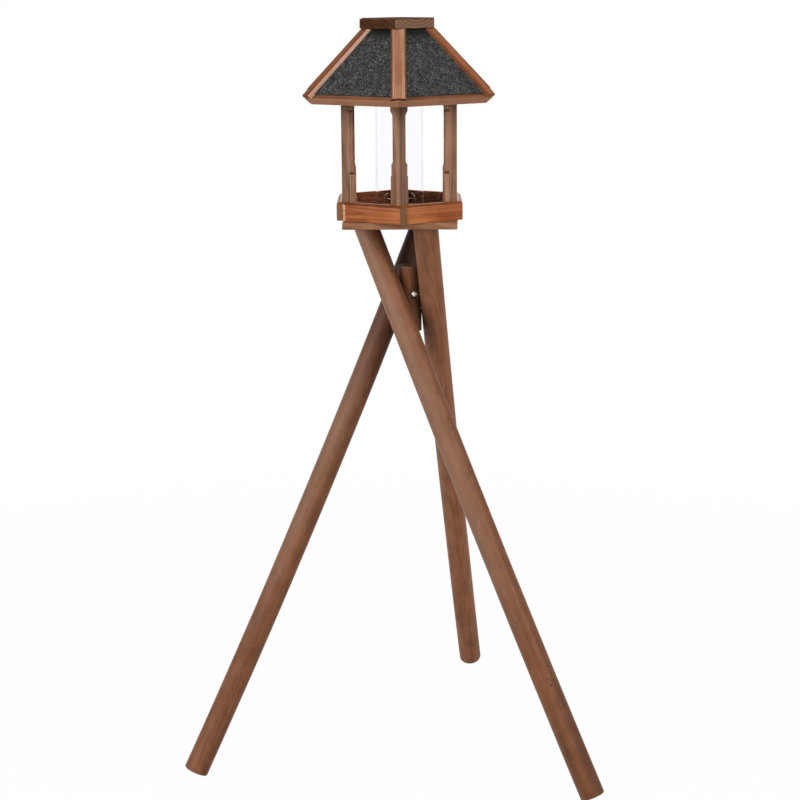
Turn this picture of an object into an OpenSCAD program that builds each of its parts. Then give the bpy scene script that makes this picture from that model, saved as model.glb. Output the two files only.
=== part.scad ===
// Hexagonal bird feeder house on a twisted three-pole stand, in millimetres, +Z up.
// One corner of the house points along -Y. Flats face 0, 60, 120 ... degrees, corners 30, 90, 150 ...

/* [Tray] */
// Width of the tray across two opposite outer faces
tray_w = 206; // [180:1:260]
// Height of the tray boards
tray_h = 30.5; // [20:1:60]
// Thickness of the tray boards
board_t = 9; // [6:0.5:14]
// Thickness of the tray floor
floor_t = 9; // [6:0.5:14]
// Leg of the 45 degree chamfer along the outer top edges of the tray
tray_chamfer = 4; // [1:0.5:6]

/* [Posts] */
// Width of a corner post
post_w = 28; // [22:0.5:34]
// Depth of a corner post from its outer arris to its back
post_d = 16.5; // [13:0.5:22]
// Clear height between the tray's top edge and the eaves
open_h = 159.5; // [110:1:240]
// Depth of the stopped notches in both sides of a post
notch_d = 3.5; // [1:0.5:6]
// Radius of the round cutter that ends a notch
notch_r = 12; // [8:0.5:16]
// Distance from the tray's top edge up to the straight part of a notch
notch_low = 53; // [30:1:60]
// Distance from the eaves down to the straight part of a notch
notch_high = 19; // [16:1:40]

/* [Roof] */
// Slope of the six roof faces, in degrees
roof_pitch = 47; // [35:0.5:52]
// Width of the roof across the lower edges of two opposite fascias
eave_w = 279.5; // [250:1:330]
// Width of the roof's mouth across two opposite flats, under the lid
mouth_w = 61.3; // [54:0.1:68]
// Thickness of the roof boards
roof_t = 15; // [8:0.5:18]
// Thickness of the mineral felt on the roof boards
felt_t = 2; // [1:0.5:4]
// Width of the bare strip of board below the felt
felt_margin = 7.5; // [3:0.5:20]
// Width of the six hip battens across their undersides
rafter_w = 23.6; // [20:0.1:32]
// Width of a hip batten across its upper edges
rafter_top = 19.2; // [12:0.1:19.8]
// Height of a hip batten's sloping sides
rafter_side = 4.9; // [4:0.1:10]
// Height of a hip batten's ridge above its upper edges
rafter_ridge = 1.9; // [1:0.1:6]
// Distance from the eave's corner up to the end of a hip batten
rafter_end = 3.6; // [0:0.1:12]

/* [Lid] */
// Width of the lid across two opposite corners
lid_w = 138; // [132:1:170]
// Thickness of the lid
lid_t = 15; // [8:0.5:24]
// Gap all round between the lid's spigot and the roof's mouth
spigot_gap = 3.6; // [2:0.1:8]
// Length of the spigot under the lid
spigot_h = 9; // [4:0.5:10]
// How far the loose lid sits off the middle to the right
lid_shift = -1.5; // [-2:0.5:2]
// Turn of the loose lid on the roof, in degrees
lid_turn = -2; // [-8:0.5:8]

/* [Seed tube] */
// Outer diameter of the clear seed tube
tube_d = 80; // [70:1:84]
// Wall thickness of the seed tube
tube_wall = 2; // [1.5:0.1:4]
// Width of the arched outlets at the foot of the tube
outlet_w = 16; // [8:0.5:20]
// Height of the arched outlets
outlet_h = 24; // [14:1:32]

/* [Base plate] */
// Length of each side of the square base plate
plate_w = 187; // [170:1:200]
// Thickness of the base plate
plate_t = 11; // [6:0.5:18]
// Turn of the base plate under the tray, in degrees
plate_turn = -2; // [-5:0.5:5]
// How far the base plate sits off the middle to the right
plate_shift = 3; // [-5:0.5:5]

/* [Stand] */
// Height from the floor to the underside of the base plate
stand_h = 928; // [600:1:1400]
// Diameter of the three legs
leg_d = 41; // [30:1:46]
// Lean of each leg from upright, in degrees
leg_lean = 26.6; // [18:0.1:32]
// Rounding of the legs' lower ends
foot_r = 3; // [1:0.5:6]
// Direction in which the front leg runs out, in degrees
heading_front = -35.8; // [-45:0.1:-20]
// Direction in which the left leg runs out, in degrees
heading_left = 208.3; // [195:0.1:220]
// Direction in which the back leg runs out, in degrees
heading_back = 78.5; // [65:0.1:95]
// Distance of the hub to the right of the house's axis
hub_x = 15.6; // [0:0.1:30]
// Distance of the hub behind the house's axis
hub_y = 8.5; // [0:0.1:25]
// Diameter of the hub post
hub_d = 40; // [34:1:46]
// Length of the hub post
hub_h = 111.5; // [90:0.5:140]
// Height of the hub post's top above the middle bolt
hub_rise = 59.5; // [40:0.5:80]
// Drop from the base plate to the middle bolt
bolt_drop = 133.5; // [100:0.5:180]
// Height between one bolt and the next
bolt_step = 12.5; // [10:0.5:22]

/* [Bolts] */
// Diameter of the hub bolts
bolt_d = 6; // [5:0.5:8]
// Diameter of the bolts' domed heads
head_d = 12; // [10:0.5:14]
// Height of the bolts' domed heads
head_h = 4.5; // [3:0.5:6]
// Diameter of the counterbore round each bolt head
counterbore_d = 15; // [14:0.5:18]
// Depth of the counterbores
counterbore_h = 6; // [5:0.5:9]
// How far a bolt bites into its leg
bolt_bite = 26; // [14:1:27]

/* [Hidden] */

// Clearance between pieces that seat on each other on a slope or round a curve
fit = 0.1;
// Radial clearance of a bolt in its hole
bolt_fit = 0.3;
// How far a cutting shape runs past what it cuts
cut = 1;
// A length beyond the size of the whole house, for cutting slabs
far = 400;
// Facets of the large, middling and small rounds
fn_large = 96;
fn_middle = 64;
fn_small = 48;

// Levels, from the floor up
plate_z = stand_h;
tray_z = plate_z + plate_t;
tray_floor_z = tray_z + floor_t;
tray_top_z = tray_z + tray_h;
eave_z = tray_top_z + open_h;
lid_z = eave_z + (eave_w - mouth_w) / 2 * tan(roof_pitch);
spigot_d = mouth_w - 2 * spigot_gap;

// Half widths of the tray, outside and inside its boards
tray_out = tray_w / 2;
tray_in = tray_out - board_t;

// The eave's upper corner, across the flats and up, and the pitch of the hips
eave_out = eave_w / 2 + roof_t * sin(roof_pitch);
eave_out_z = eave_z + roof_t * cos(roof_pitch);
hip_pitch = atan(tan(roof_pitch) * cos(30));
slope_l = far;

// The seed tube's top touches the underside of the roof boards
tube_top_z = eave_z + (eave_w / 2 - tube_d / 2) * tan(roof_pitch) - fit;

// The stand: the legs touch the hub at the heights of their bolts
leg_r = leg_d / 2;
hub_r = hub_d / 2;
leg_offset = hub_r + leg_r + fit;
bolt_end = hub_r + fit + bolt_bite;
mid_bolt_z = plate_z - bolt_drop;
hub_z = mid_bolt_z + hub_rise - hub_h;
LEGS = [
    [heading_front, mid_bolt_z],
    [heading_left, mid_bolt_z + bolt_step],
    [heading_back, mid_bolt_z - bolt_step]
];

// A leg's rounded foot turns about this ring, whose lowest point is foot_r above the floor
ring_r = leg_r - foot_r;
ring_z = ring_r * sin(leg_lean) + foot_r;
function leg_dir(leg) = [sin(leg_lean) * cos(leg[0]), sin(leg_lean) * sin(leg[0])];
function leg_start(leg) = [hub_x + leg_offset * sin(leg[0]), hub_y - leg_offset * cos(leg[0])];
function leg_reach(leg) = (leg[1] - ring_z) / cos(leg_lean);
function foot_side(leg, axis, side) =
    leg_start(leg)[axis] + leg_dir(leg)[axis] * leg_reach(leg)
    + side * (ring_r * sqrt(1 - pow(leg_dir(leg)[axis], 2)) + foot_r);

// The house's axis lies so that the origin is under the middle of the whole feeder
function middle(axis) =
    (min([for (leg = LEGS) foot_side(leg, axis, -1)]) + max([for (leg = LEGS) foot_side(leg, axis, 1)])) / 2;
house_x = -middle(0);
house_y = -middle(1);

wood = "#7a4a2c";
wood_light = "#a8714d";
wood_dark = "#5a3321";
felt_grey = "#34363a";

// ---- Helpers -------------------------------------------------------------

// Puts its children on the house's axis, turned to face a given way
module on_axis(turn = 0, z = 0) {
    translate([house_x, house_y, z]) rotate([0, 0, turn]) children();
}

// A wedge of 60 degrees about +X, up to the planes of the two hips
module sector(gap) {
    tip = gap / sin(30);
    side = (far - tip) * tan(30);
    linear_extrude(lid_z + far) polygon([[tip, 0], [far, side], [far, -side]]);
}

// A slab that lies on the roof's slope, from one height above the boards' underside to another
module slope_slab(low, high, margin) {
    translate([eave_w / 2, 0, eave_z]) rotate([0, roof_pitch, 0])
        translate([-slope_l - margin, -far, low]) cube([slope_l, 2 * far, high - low]);
}

// One roof face's layer, cut along the hips and level under the lid
module roof_layer(low, high, margin) {
    intersection() {
        slope_slab(low, high, margin);
        sector(fit / 2);
        translate([0, -far, 0]) cube([far, 2 * far, lid_z]);
    }
}

// Everything above the underside of one roof face
module above_roof_face() {
    translate([eave_w / 2, 0, eave_z]) rotate([0, roof_pitch, 0])
        translate([-slope_l, -far, -fit]) cube([2 * slope_l, 2 * far, far]);
}

// ---- House ---------------------------------------------------------------

// The lid lies loose on the roof, with its spigot in the roof's mouth
module lid() {
    color(wood_dark) on_axis(0, lid_z) translate([lid_shift, 0, 0]) rotate([0, 0, 30 + lid_turn]) {
        cylinder(d = lid_w, h = lid_t, $fn = 6);
        translate([0, 0, -spigot_h]) cylinder(d = spigot_d, h = spigot_h, $fn = fn_middle);
    }
}

// Hip batten over the joint of two felts: square-cut at the eave, level under the lid
module rafter(i) {
    felt_rise = sin(roof_pitch) * cos(30) * sin(hip_pitch) + cos(roof_pitch) * cos(hip_pitch);
    under = (felt_t + fit) / felt_rise;
    under_side = under - sin(roof_pitch) * sin(30) / felt_rise * rafter_w / 2;
    top_side = under_side + rafter_side;
    color(wood_light) on_axis(60 * i - 30) intersection() {
        translate([eave_out / cos(30), 0, eave_out_z]) rotate([0, hip_pitch, 0]) rotate([90, 0, -90])
            translate([0, 0, rafter_end]) linear_extrude(slope_l)
                polygon([
                    [0, under], [rafter_w / 2, under_side], [rafter_top / 2, top_side],
                    [0, top_side + rafter_ridge], [-rafter_top / 2, top_side], [-rafter_w / 2, under_side]
                ]);
        translate([0, -far, 0]) cube([far, 2 * far, lid_z]);
    }
}

module felt(i) {
    color(felt_grey) on_axis(60 * i) roof_layer(roof_t, roof_t + felt_t, felt_margin);
}

module roof_board(i) {
    color(wood) on_axis(60 * i) roof_layer(0, roof_t, 0);
}

// Corner post: two outer faces that follow the tray boards, stopped notches in its sides
module post(i) {
    arris = (tray_in - fit) / cos(30);
    half = post_w / 2;
    notch_z = [tray_top_z + notch_low, eave_z - notch_high];
    color(wood) on_axis(60 * i - 30) difference() {
        translate([0, 0, tray_floor_z]) linear_extrude(lid_z - tray_floor_z)
            polygon([
                [arris, 0], [arris - half * tan(30), half], [arris - post_d, half],
                [arris - post_d, -half], [arris - half * tan(30), -half]
            ]);
        for (turn = [-30, 30]) rotate([0, 0, turn]) above_roof_face();
        for (side = [-1, 1]) translate([0, side * (half - notch_d + notch_r), 0]) {
            for (z = notch_z)
                translate([arris - post_d - cut, 0, z]) rotate([0, 90, 0])
                    cylinder(r = notch_r, h = post_d + 2 * cut, $fn = fn_middle);
            translate([arris - post_d - cut, -notch_r, notch_z[0]])
                cube([post_d + 2 * cut, 2 * notch_r, notch_z[1] - notch_z[0]]);
        }
    }
}

// Tray board with a chamfered outer top edge
// One end runs through to the next face, and the other butts behind the board before
module tray_board(i) {
    past_out = tray_out + cut;
    past_in = tray_in - cut;
    behind = tray_in - fit;
    color(wood_light) on_axis(60 * i, tray_z) intersection() {
        translate([0, far, 0]) rotate([90, 0, 0]) linear_extrude(2 * far)
            polygon([
                [tray_in, 0], [tray_out, 0], [tray_out, tray_h - tray_chamfer],
                [tray_out - tray_chamfer, tray_h], [tray_in, tray_h]
            ]);
        translate([0, 0, -cut]) linear_extrude(tray_h + 2 * cut)
            polygon([
                [past_out, (tray_out - past_out / 2) / sin(60)],
                [past_in, (tray_out - past_in / 2) / sin(60)],
                [past_in, (past_in / 2 - behind) / sin(60)],
                [past_out, (past_out / 2 - behind) / sin(60)]
            ]);
    }
}

module tray_floor() {
    color(wood) on_axis(30, tray_z) cylinder(r = (tray_in - fit) / cos(30), h = floor_t, $fn = 6);
}

// Clear tube with an arched outlet towards each flat
module seed_tube() {
    tube_h = tube_top_z - tray_floor_z;
    color("#dfe3ee") on_axis(0, tray_floor_z) difference() {
        cylinder(d = tube_d, h = tube_h, $fn = fn_large);
        translate([0, 0, -cut]) cylinder(d = tube_d - 2 * tube_wall, h = tube_h + 2 * cut, $fn = fn_large);
        for (i = [0 : 5]) rotate([0, 0, 60 * i]) {
            translate([tube_d / 4, 0, outlet_h - outlet_w / 2]) rotate([0, 90, 0])
                cylinder(d = outlet_w, h = tube_d / 2, $fn = fn_small);
            translate([tube_d / 4, -outlet_w / 2, -cut])
                cube([tube_d / 2, outlet_w, outlet_h - outlet_w / 2 + cut]);
        }
    }
}

module base_plate() {
    color(wood_light) on_axis(0, plate_z) translate([plate_shift, 0, 0]) rotate([0, 0, plate_turn])
        translate([-plate_w / 2, -plate_w / 2, 0]) cube([plate_w, plate_w, plate_t]);
}

// ---- Stand ---------------------------------------------------------------

// Round pole along +Z with a rounded end
module pole(length) {
    cylinder(r = leg_r, h = length - foot_r, $fn = fn_large);
    translate([0, 0, length - foot_r]) rotate_extrude($fn = fn_large)
        intersection() {
            union() {
                square([ring_r, foot_r]);
                translate([ring_r, 0]) circle(r = foot_r, $fn = fn_small);
            }
            square([leg_r, foot_r]);
        }
}

// Places its children at a bolt: +X points from the hub's axis to the leg, +Z up
module at_bolt(leg) {
    translate([house_x + hub_x, house_y + hub_y, leg[1]]) rotate([0, 0, leg[0] - 90]) children();
}

// The hole for one bolt, counterbored on the hub's free side and blind in the leg
module bolt_hole() {
    from_hub = -hub_r - cut;
    rotate([0, 90, 0]) {
        translate([0, 0, from_hub])
            cylinder(d = bolt_d + 2 * bolt_fit, h = bolt_end + bolt_fit - from_hub, $fn = fn_small);
        translate([0, 0, from_hub]) cylinder(d = counterbore_d, h = counterbore_h + cut, $fn = fn_small);
    }
}

// Leg: level under the base plate, square-cut and rounded at the floor
module leg(leg) {
    up = (plate_z - leg[1]) / cos(leg_lean) + leg_d;
    color(wood_dark) difference() {
        at_bolt(leg) translate([leg_offset, 0, 0]) rotate([0, 0, 90]) rotate([0, 180 - leg_lean, 0])
            translate([0, 0, -up]) pole(up + leg_reach(leg) + foot_r);
        translate([-far, -far, plate_z]) cube([2 * far, 2 * far, far]);
        at_bolt(leg) bolt_hole();
    }
}

module hub() {
    color(wood_dark) difference() {
        on_axis(0, hub_z) translate([hub_x, hub_y, 0]) cylinder(r = hub_r, h = hub_h, $fn = fn_large);
        for (leg = LEGS) at_bolt(leg) bolt_hole();
    }
}

// A bolt's domed head, a slice of a sphere that stands on its rim
module bolt_head() {
    dome_r = (pow(head_d / 2, 2) + pow(head_h, 2)) / (2 * head_h);
    intersection() {
        translate([0, 0, head_h - dome_r]) sphere(r = dome_r, $fn = fn_small);
        cylinder(d = head_d, h = head_h, $fn = fn_small);
    }
}

// Bolt through the hub into a leg, with its domed head in the counterbore
module hub_bolt(leg) {
    seat = counterbore_h - hub_r;
    color("#c9cbd0") at_bolt(leg) rotate([0, 90, 0]) {
        translate([0, 0, seat]) cylinder(d = bolt_d, h = bolt_end - seat, $fn = fn_small);
        translate([0, 0, seat]) mirror([0, 0, 1]) bolt_head();
    }
}

lid();
rafter(1);  // rafter_1
rafter(2);  // rafter_2
rafter(3);  // rafter_3
rafter(4);  // rafter_4
rafter(5);  // rafter_5
rafter(6);  // rafter_6
felt(1);  // felt_1
felt(2);  // felt_2
felt(3);  // felt_3
felt(4);  // felt_4
felt(5);  // felt_5
felt(6);  // felt_6
roof_board(1);  // roof_board_1
roof_board(2);  // roof_board_2
roof_board(3);  // roof_board_3
roof_board(4);  // roof_board_4
roof_board(5);  // roof_board_5
roof_board(6);  // roof_board_6
post(1);  // post_1
post(2);  // post_2
post(3);  // post_3
post(4);  // post_4
post(5);  // post_5
post(6);  // post_6
tray_board(1);  // tray_board_1
tray_board(2);  // tray_board_2
tray_board(3);  // tray_board_3
tray_board(4);  // tray_board_4
tray_board(5);  // tray_board_5
tray_board(6);  // tray_board_6
tray_floor();
seed_tube();
base_plate();
leg(LEGS[0]);  // leg_front
leg(LEGS[1]);  // leg_left
leg(LEGS[2]);  // leg_back
hub();
hub_bolt(LEGS[0]);  // hub_bolt_front
hub_bolt(LEGS[1]);  // hub_bolt_left
hub_bolt(LEGS[2]);  // hub_bolt_back
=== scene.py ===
"""Looks of a hexagonal bird feeder on a twisted stand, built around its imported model.

Every length is in metres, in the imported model's own frame: +Z is up and -Y is the front.
"""

import logging
import math
import random
from collections.abc import Iterable, Iterator, Mapping, Sequence
from contextlib import contextmanager
from dataclasses import dataclass, replace
from enum import Enum
from typing import Any

import bmesh
import bpy
from bmesh.types import BMEdge, BMesh
from bpy.types import Material, Mesh, Node, NodeSocket, NodeTree, Object
from mathutils import Matrix, Vector, noise


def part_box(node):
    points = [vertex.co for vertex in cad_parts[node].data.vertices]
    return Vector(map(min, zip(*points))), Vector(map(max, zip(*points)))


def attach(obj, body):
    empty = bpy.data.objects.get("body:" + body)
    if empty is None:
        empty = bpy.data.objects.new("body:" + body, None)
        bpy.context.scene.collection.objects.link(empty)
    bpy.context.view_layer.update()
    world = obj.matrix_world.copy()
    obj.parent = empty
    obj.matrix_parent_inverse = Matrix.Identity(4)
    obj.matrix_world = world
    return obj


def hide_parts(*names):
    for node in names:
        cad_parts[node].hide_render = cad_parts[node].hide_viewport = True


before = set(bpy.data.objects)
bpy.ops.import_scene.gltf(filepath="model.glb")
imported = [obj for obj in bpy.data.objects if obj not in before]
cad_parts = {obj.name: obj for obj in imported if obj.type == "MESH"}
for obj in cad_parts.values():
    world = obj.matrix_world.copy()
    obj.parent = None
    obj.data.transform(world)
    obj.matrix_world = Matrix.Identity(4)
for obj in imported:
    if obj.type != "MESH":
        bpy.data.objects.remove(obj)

Triple = tuple[float, float, float]
Inputs = Mapping[str | int, Any]
MM = 0.001
UP = Vector((0.0, 0.0, 1.0))
BACK = Vector((0.0, 1.0, 0.0))
SIDEWAYS = Vector((1.0, 0.0, 0.0))
LOG = logging.getLogger("bird_feeder")


class Slot(Enum):
    """The record's material slots."""

    PINE = "stained_pine"
    POLES = "stained_poles"
    FELT = "mineral_felt"
    CLEAR = "clear_plastic"
    STEEL = "bright_steel"


# ---- Node trees ----


class Graph:
    """A node tree that is filled in by short calls."""

    def __init__(self, tree: NodeTree) -> None:
        """Empties the tree and keeps it."""
        self.tree = tree
        tree.nodes.clear()

    @staticmethod
    def pick(sockets: Iterable[NodeSocket], key: str | int) -> NodeSocket:
        """Finds a socket by its place, or by its name among those in use."""
        found = (s for k, s in enumerate(sockets) if key in (k, s.name if s.enabled else None))
        return next(found)

    def feed(self, socket: NodeSocket, value: Any) -> None:
        """Links a socket to another one, or gives it a constant.

        Args:
            socket: The socket.
            value: The other one, or the constant; a colour has three parts.
        """
        if isinstance(value, NodeSocket):
            self.tree.links.new(value, socket)
        else:
            socket.default_value = (*value, 1.0) if socket.type == "RGBA" else value

    def add(self, kind: str, inputs: Inputs | None = None, **settings: Any) -> Node:
        """Adds a node.

        Args:
            kind: The node's type name.
            inputs: Values or sockets for its inputs, by name or place.
            **settings: The node's own properties.

        Returns:
            The new node.
        """
        node = self.tree.nodes.new(kind)
        for key, value in settings.items():
            setattr(node, key, value)
        for key, value in (inputs or {}).items():
            self.feed(self.pick(node.inputs, key), value)
        return node

    def get(self, kind: str, inputs: Inputs | None = None, **settings: Any) -> NodeSocket:
        """Adds a node and gives its first output."""
        return self.add(kind, inputs, **settings).outputs[0]

    def out(self, node: Node, key: str | int) -> NodeSocket:
        """Finds a node's output by name or place."""
        return self.pick(node.outputs, key)

    def math(self, operation: str, *values: Any, clamp: bool = False) -> NodeSocket:
        """Works out one number."""
        inputs = dict(enumerate(values))
        return self.get("ShaderNodeMath", inputs, operation=operation, use_clamp=clamp)

    def vector(self, operation: str, *values: Any) -> NodeSocket:
        """Works out one vector from vectors."""
        return self.get("ShaderNodeVectorMath", dict(enumerate(values)), operation=operation)

    def scaled(self, vector: Any, share: Any) -> NodeSocket:
        """Scales a vector or a colour by one number."""
        return self.get("ShaderNodeVectorMath", {0: vector, "Scale": share}, operation="SCALE")

    def times(self, first: Any, second: Any) -> NodeSocket:
        """Multiplies two values."""
        return self.math("MULTIPLY", first, second)

    def added(self, value: Any, share: Any, base: Any) -> NodeSocket:
        """Adds a share of a value to a base."""
        return self.math("MULTIPLY_ADD", value, share, base)

    def attribute(self, name: str, output: str = "Fac") -> NodeSocket:
        """Reads an attribute of the mesh."""
        return self.out(self.add("ShaderNodeAttribute", attribute_name=name), output)

    def place(self) -> NodeSocket:
        """Reads the place in the object's own coordinates."""
        return self.out(self.add("ShaderNodeTexCoord"), "Object")

    def height(self, vector: Any) -> NodeSocket:
        """Reads the Z part of a vector."""
        return self.out(self.add("ShaderNodeSeparateXYZ", {0: vector}), 2)

    def sized(self, vector: Any, scale: float | Triple) -> Inputs:
        """Gives the inputs of a texture.

        Args:
            vector: Where it is read.
            scale: Its scale, or one for each axis.

        Returns:
            The values for Vector and Scale.
        """
        if isinstance(scale, tuple):
            return {"Vector": self.vector("MULTIPLY", vector, scale), "Scale": 1.0}
        return {"Vector": vector, "Scale": scale}

    def noise(
        self, vector: Any, scale: float | Triple, detail: float = 3.0, rough: float = 0.5
    ) -> NodeSocket:
        """Adds a noise texture and returns its grey value."""
        inputs = {**self.sized(vector, scale), "Detail": detail, "Roughness": rough}
        return self.get("ShaderNodeTexNoise", inputs)

    def cells(
        self, vector: Any, scale: float | Triple, channel: int = 0
    ) -> tuple[NodeSocket, NodeSocket]:
        """Adds a texture of random cells.

        Args:
            vector: Where it is read.
            scale: Cells per metre.
            channel: Which part of the cells' colour is drawn as their lot.

        Returns:
            The distance from the cell's middle, and the cell's lot from 0 to 1.
        """
        inputs = {**self.sized(vector, scale), "Randomness": 1.0}
        node = self.add("ShaderNodeTexVoronoi", inputs)
        colour = self.add("ShaderNodeSeparateColor", {0: node.outputs["Color"]})
        return node.outputs["Distance"], colour.outputs[channel]

    def mix(self, share: Any, first: Any, second: Any) -> NodeSocket:
        """Mixes two colours."""
        inputs = {"Factor": share, "A": first, "B": second}
        return self.out(self.add("ShaderNodeMix", inputs, data_type="RGBA"), "Result")

    def span(
        self, value: Any, low: float, high: float, start: float = 0.0, end: float = 1.0
    ) -> NodeSocket:
        """Maps a value smoothly from one range to another, and keeps it in that range."""
        inputs = dict(enumerate((value, low, high, start, end)))
        return self.get("ShaderNodeMapRange", inputs, interpolation_type="SMOOTHSTEP")


class Surface(Graph):
    """The node tree of a new material."""

    def __init__(self, name: str) -> None:
        """Makes the material, with an empty tree.

        Args:
            name: The material's name.
        """
        self.material = bpy.data.materials.new(name)
        self.material.use_nodes = True
        super().__init__(self.material.node_tree)

    def end(self, inputs: Inputs) -> Material:
        """Ends the tree with a principled surface and gives the material."""
        self.add("ShaderNodeOutputMaterial", {0: self.get("ShaderNodeBsdfPrincipled", inputs)})
        return self.material


class Sculptor(Graph):
    """A Geometry Nodes tree that rebuilds a piece, with named inputs and a finish."""

    def __init__(self, name: str, kinds: Mapping[str, str]) -> None:
        """Makes the tree.

        Args:
            name: The tree's name.
            kinds: The kinds of its inputs after the geometry, by name.
        """
        tree = bpy.data.node_groups.new(name, "GeometryNodeTree")
        kinds = {"Piece": "Geometry", **kinds, "Finish": "Material"}
        new = tree.interface.new_socket
        self.names = {
            key: new(key, in_out="INPUT", socket_type=f"NodeSocket{kind}").identifier
            for key, kind in kinds.items()
        }
        new("Piece", in_out="OUTPUT", socket_type="NodeSocketGeometry")
        super().__init__(tree)
        self.given = self.add("NodeGroupInput").outputs

    def end(self, geometry: NodeSocket) -> None:
        """Gives the result its finish and ends the tree."""
        inputs = {"Geometry": geometry, "Material": self.given["Finish"]}
        self.add("NodeGroupOutput", {0: self.get("GeometryNodeSetMaterial", inputs)})

    def run(self, piece: Object, **inputs: Any) -> Object:
        """Rebuilds a piece.

        Args:
            piece: The object whose mesh the tree takes in.
            **inputs: The values of the other inputs.

        Returns:
            The same object with the result as its mesh.
        """
        step = piece.modifiers.new(self.tree.name, "NODES")
        step.node_group = self.tree
        for name, value in inputs.items():
            step[self.names[name]] = value
        return baked(piece)


# ---- Finishes ----

# Waves per metre along the fibres, across them and through the board.
FIBRE = (9.0, 520.0, 520.0)
STREAK = (3.2, 105.0, 105.0)
BLOTCH = (24.0, 42.0, 42.0)
SWAY = (4.2, 13.0, 13.0)
KNOTS = (6.0, 15.0, 15.0)
FLECK = (45.0, 210.0, 210.0)


@dataclass(frozen=True)
class WoodFinish:
    """Pine under a brown stain, with growth rings, fibres, blotches, knots, dark ends, rubbed
    edges, and painted light, shade and sheen.

    A share says how strongly a mark shows, and knots, dents and scuffs say how common they are.
    """

    name: str
    light: Triple
    dark: Triple
    end: Triple
    # rubbed is the pale colour of wear, and also of painted sheen and highlights.
    rubbed: Triple
    ring: float = 3.0 * MM
    sway: float = 12.0 * MM
    drift: float = 14.0 * MM
    knot_bulge: float = 7.0 * MM
    ring_share: float = 0.42
    streak_share: float = 0.55
    blotch_share: float = 0.45
    fibre_share: float = 0.20
    rubbed_share: float = 0.55
    knot: Triple = (0.030, 0.011, 0.006)
    knots: float = 0.45
    dents: float = 0.0
    dent_pitch: float = 24.0 * MM
    scuffs: float = 0.0
    roughness: float = 0.38
    end_roughness: float = 0.22
    polish: float = 0.10
    specular: float = 0.06
    ior: float = 1.5
    relief: float = 0.35 * MM

    def material(self) -> Material:
        """Builds the node material, which reads the attributes of mark_wood.

        Returns:
            The material.
        """
        g = Surface(self.name)
        grain = g.attribute("grain", "Vector")
        end, eased, tone, top = (g.attribute(key) for key in ("end", "eased", "tone", "top"))
        fibre = g.noise(grain, FIBRE, rough=0.6)
        streak = g.noise(grain, STREAK, rough=0.62)
        blotch = g.noise(grain, BLOTCH, rough=0.55)
        from_knot, lot = g.cells(grain, KNOTS)
        chosen = g.math("GREATER_THAN", lot, 1.0 - self.knots)
        knot = g.times(g.span(from_knot, 0.13, 0.085), chosen)
        late = self._late_wood(g, grain, g.times(g.span(from_knot, 0.34, 0.0), chosen))
        share = g.times(late, self.ring_share)
        for mark, low, high, strength in (
            (streak, 0.36, 0.66, self.streak_share),
            (blotch, 0.33, 0.67, self.blotch_share),
            (fibre, 0.35, 0.65, self.fibre_share),
        ):
            share = g.added(g.span(mark, low, high, -1.0, 1.0), strength * 0.5, share)
        share = g.math("ADD", share, 0.30, clamp=True)
        colour = g.mix(share, self.light, self.dark)
        late_end = tuple(0.45 * part for part in self.end)
        colour = g.mix(end, colour, g.mix(g.times(late, 0.75), self.end, late_end))
        colour = g.mix(knot, colour, self.knot)
        # The pale share is wear, and in places painted sheen and highlight.
        wear = g.times(eased, g.span(streak, 0.30, 0.62, 0.35, 1.0))
        colour = g.mix(g.times(wear, self.rubbed_share), colour, self.rubbed)
        fleck = g.span(g.noise(grain, FLECK, detail=1.0), 0.66, 0.74)
        colour = g.mix(g.times(fleck, self.scuffs), colour, self.rubbed)
        # The tone carries each piece's own tone and its painted light and shade.
        colour = g.scaled(colour, g.math("ADD", tone, 1.0))
        from_dent, lot = g.cells(grain, 1.0 / self.dent_pitch, channel=1)
        chosen = g.math("GREATER_THAN", lot, 1.0 - self.dents)
        dent = g.times(g.span(from_dent, 0.10, 0.05), chosen)
        colour = g.mix(g.times(dent, 0.85), colour, self.knot)
        rough = g.added(g.math("SUBTRACT", streak, 0.5), 0.25, self.roughness)
        rough = g.added(end, self.end_roughness, rough)
        rough = g.added(top, -self.polish, rough)
        rough = g.math("MAXIMUM", rough, 0.10, clamp=True)
        height = g.added(dent, -2.5, g.added(late, 0.6, fibre))
        relief = {"Strength": 0.30, "Distance": self.relief, "Height": height}
        return g.end(
            {
                "Base Color": colour,
                "Roughness": rough,
                "Normal": g.get("ShaderNodeBump", relief),
                "Specular IOR Level": self.specular,
                "IOR": self.ior,
            }
        )

    def _late_wood(self, g: Graph, grain: NodeSocket, near_knot: NodeSocket) -> NodeSocket:
        """Draws the growth rings.

        Args:
            g: The material's graph.
            grain: The place in the log.
            near_knot: How close a knot is, from 0 to 1.

        Returns:
            A value that rises to 1 in the dark late wood of each ring.
        """
        place = g.add("ShaderNodeSeparateXYZ", {0: grain}).outputs
        radius = g.math("SQRT", g.math("ADD", *(g.times(place[k], place[k]) for k in (1, 2))))
        bent = g.added(g.noise(grain, SWAY, detail=1.0), self.sway, radius)
        bent = g.added(near_knot, self.knot_bulge, bent)
        bent = g.added(place[0], self.drift, bent)
        phase = g.math("FRACT", g.math("DIVIDE", bent, self.ring))
        return g.times(g.span(phase, 0.30, 0.82), g.span(phase, 1.0, 0.90))


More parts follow.
